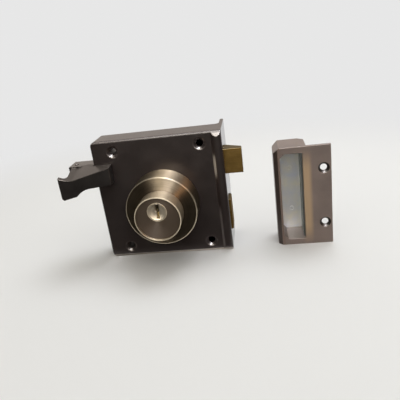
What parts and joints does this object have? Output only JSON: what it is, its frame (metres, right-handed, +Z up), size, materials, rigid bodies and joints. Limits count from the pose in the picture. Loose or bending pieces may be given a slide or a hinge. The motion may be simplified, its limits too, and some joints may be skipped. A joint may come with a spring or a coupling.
{
  "type": "rim box lock",
  "caption": "Surface mounted rim lock with a collared key cylinder, sliding pull handle, sprung bevelled latch, rack driven deadbolt and a separate box keep.",
  "frame": {"origin": "centre of the case's back face, on the door's surface, midway between the four fixing holes", "axes": "+X towards the forend and the bolts, +Y into the door, +Z up; the key goes in along +Y"},
  "size_m": [0.192, 0.0682, 0.0914],
  "materials": {
    "case_lacquer": "dark bronze brown lacquer, half gloss",
    "handle_lacquer": "dark bronze brown lacquer, satin",
    "keep_lacquer": "bronze brown lacquer, satin",
    "collar_bronze": "turned, bronzed brass",
    "plug_brass": "turned brass, nickel tinted",
    "bolt_brass": "drawn brass, satin",
    "zinc_steel": "zinc plated",
    "spring_steel": "drawn wire"
  },
  "bodies": {
    "lock_body": {"lock_case": "case_lacquer", "back_plate": "zinc_steel", "back_plate_screws": "zinc_steel", "cylinder_collar": "collar_bronze", "cylinder_body": "collar_bronze", "cylinder_nut": "bolt_brass", "driver_pins": "bolt_brass", "pin_springs": "spring_steel", "pin_plugs": "bolt_brass", "pinion_bush": "bolt_brass", "rack_post": "zinc_steel", "leaf_spring": "spring_steel", "leaf_post": "zinc_steel", "spring_bracket": "zinc_steel", "latch_spring": "spring_steel", "keep_box": "keep_lacquer", "keep_liner": "zinc_steel", "keep_rivets": "zinc_steel"},
    "latch_slide_body": {"latch_bolt": "bolt_brass", "draw_bar": "zinc_steel", "latch_rivets": "zinc_steel", "spring_rod": "zinc_steel", "pull_handle": "handle_lacquer", "handle_set_screw": "spring_steel"},
    "plug_body": {"cylinder_plug": "plug_brass", "key_pins": "bolt_brass", "plug_clip": "spring_steel", "drive_tail": "zinc_steel", "drive_pinion": "zinc_steel"},
    "deadbolt_body": {"deadbolt": "bolt_brass", "rack_plate": "zinc_steel", "deadbolt_rivets": "zinc_steel"}
  },
  "joints": [
    {"name": "handle_pull", "type": "slide", "parent": "lock_body", "child": "latch_slide_body", "axis": [-1, 0, 0], "range_m": [0, 0.0122], "stiffness_N_per_m": 300, "springref_m": -0.02, "deforming": ["latch_spring"]},
    {"name": "plug_turn", "type": "hinge", "parent": "lock_body", "child": "plug_body", "pos_m": [0.001, -0.03, 0.001], "axis": [0, -1, 0], "range_deg": [0, 180]},
    {"name": "deadbolt_throw", "type": "slide", "parent": "lock_body", "child": "deadbolt_body", "axis": [1, 0, 0], "range_m": [0, 0.015]}
  ],
  "couplings": [
    {"joint": "plug_turn", "follows": "deadbolt_throw", "rad_per_m": 208.33}
  ]
}
